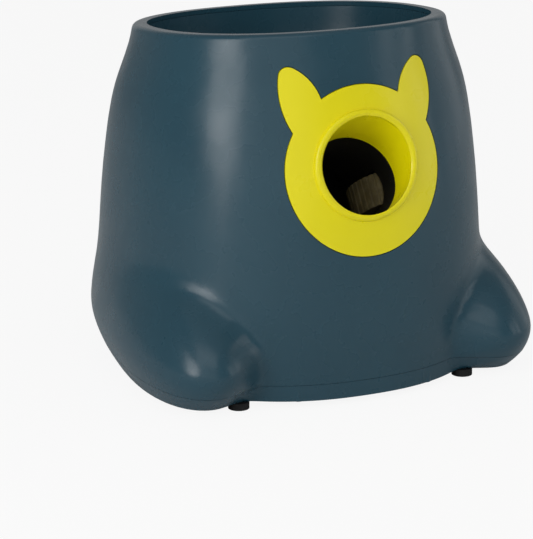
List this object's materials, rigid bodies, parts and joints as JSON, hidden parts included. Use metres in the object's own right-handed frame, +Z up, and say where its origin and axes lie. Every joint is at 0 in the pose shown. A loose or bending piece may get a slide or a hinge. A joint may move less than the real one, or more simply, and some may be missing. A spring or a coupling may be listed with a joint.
{
  "type": "automatic dog ball launcher",
  "caption": "Free-standing powered ball thrower for dogs: round hopper on top, inclined barrel with spinning throwing wheels behind a round muzzle in the front.",
  "frame": {"origin": "on the floor under the middle of the machine", "axes": "+Z up, the muzzle faces -Y, +X to the right seen from the muzzle side"},
  "size_m": [0.3621, 0.3313, 0.3109],
  "materials": {
    "body_plastic": "dark slate-teal moulded plastic, glossy",
    "lime_plastic": "lime-yellow moulded plastic, satin gloss",
    "black_plastic": "black moulded plastic, matt",
    "grey_plastic": "dark grey moulded plastic, matt",
    "lens_plastic": "milky indicator lens",
    "tyre_foam": "khaki ribbed soft rubber",
    "foot_rubber": "black rubber",
    "motor_steel": "plain plated steel",
    "contact_steel": "nickel-plated steel",
    "screw_steel": "zinc-plated steel",
    "board_laminate": "green circuit board with solder mask",
    "cell_jacket": "plain dark jacket on a steel can"
  },
  "bodies": {
    "housing": {"ball_chute": "black_plastic", "ball_sensors": "black_plastic", "barrel_cradle": "black_plastic", "barrel_lower": "black_plastic", "barrel_screws": "screw_steel", "barrel_upper": "black_plastic", "base_tray": "body_plastic", "battery_cells": "cell_jacket", "board_parts": "black_plastic", "board_screws": "screw_steel", "bracket_screws": "screw_steel", "button_board": "board_laminate", "button_board_screws": "screw_steel", "button_switches": "black_plastic", "chute_stand": "black_plastic", "circuit_board": "board_laminate", "contact_plates": "contact_steel", "contact_springs": "contact_steel", "control_panel": "black_plastic", "face_bezel": "lime_plastic", "feed_motor": "motor_steel", "gate_bracket": "black_plastic", "guard_sensors": "black_plastic", "hopper_bowl": "body_plastic", "housing": "body_plastic", "housing_screws": "screw_steel", "indicator_lenses": "lens_plastic", "launch_motor_left": "motor_steel", "launch_motor_right": "motor_steel", "motor_screws": "screw_steel", "panel_screws": "screw_steel", "power_inlet": "black_plastic", "rubber_feet": "foot_rubber", "speaker": "black_plastic"},
    "wheel_left": {"launch_shaft_left": "motor_steel", "wheel_hub_left": "grey_plastic", "wheel_tyre_left": "tyre_foam"},
    "wheel_right": {"launch_shaft_right": "motor_steel", "wheel_hub_right": "grey_plastic", "wheel_tyre_right": "tyre_foam"},
    "gate": {"feed_gate": "grey_plastic", "gate_shaft": "motor_steel"},
    "power_button": {"power_button": "lime_plastic"},
    "distance_button": {"distance_button": "lime_plastic"},
    "battery_door": {"battery_door": "body_plastic"}
  },
  "joints": [
    {"name": "wheel_left_spin", "type": "hinge", "parent": "housing", "child": "wheel_left", "pos_m": [-0.062, -0.08604, 0.14257], "axis": [0, 0.5736, 0.8192], "continuous": true},
    {"name": "wheel_right_spin", "type": "hinge", "parent": "housing", "child": "wheel_right", "pos_m": [0.062, -0.08604, 0.14257], "axis": [0, 0.5736, 0.8192], "continuous": true},
    {"name": "gate_turn", "type": "hinge", "parent": "housing", "child": "gate", "pos_m": [0, 0.01872, 0.10804], "axis": [1, 0, 0], "continuous": true},
    {"name": "power_button_press", "type": "slide", "parent": "housing", "child": "power_button", "axis": [0, -1, 0], "range_m": [0, 0.0012], "stiffness_N_per_m": 800, "springref_m": -0.0008},
    {"name": "distance_button_press", "type": "slide", "parent": "housing", "child": "distance_button", "axis": [0, -1, 0], "range_m": [0, 0.0012], "stiffness_N_per_m": 800, "springref_m": -0.0008},
    {"name": "battery_door_hinge", "type": "hinge", "parent": "housing", "child": "battery_door", "pos_m": [0, 0.1399, 0.0072], "axis": [1, 0, 0], "range_deg": [0, 100]}
  ]
}
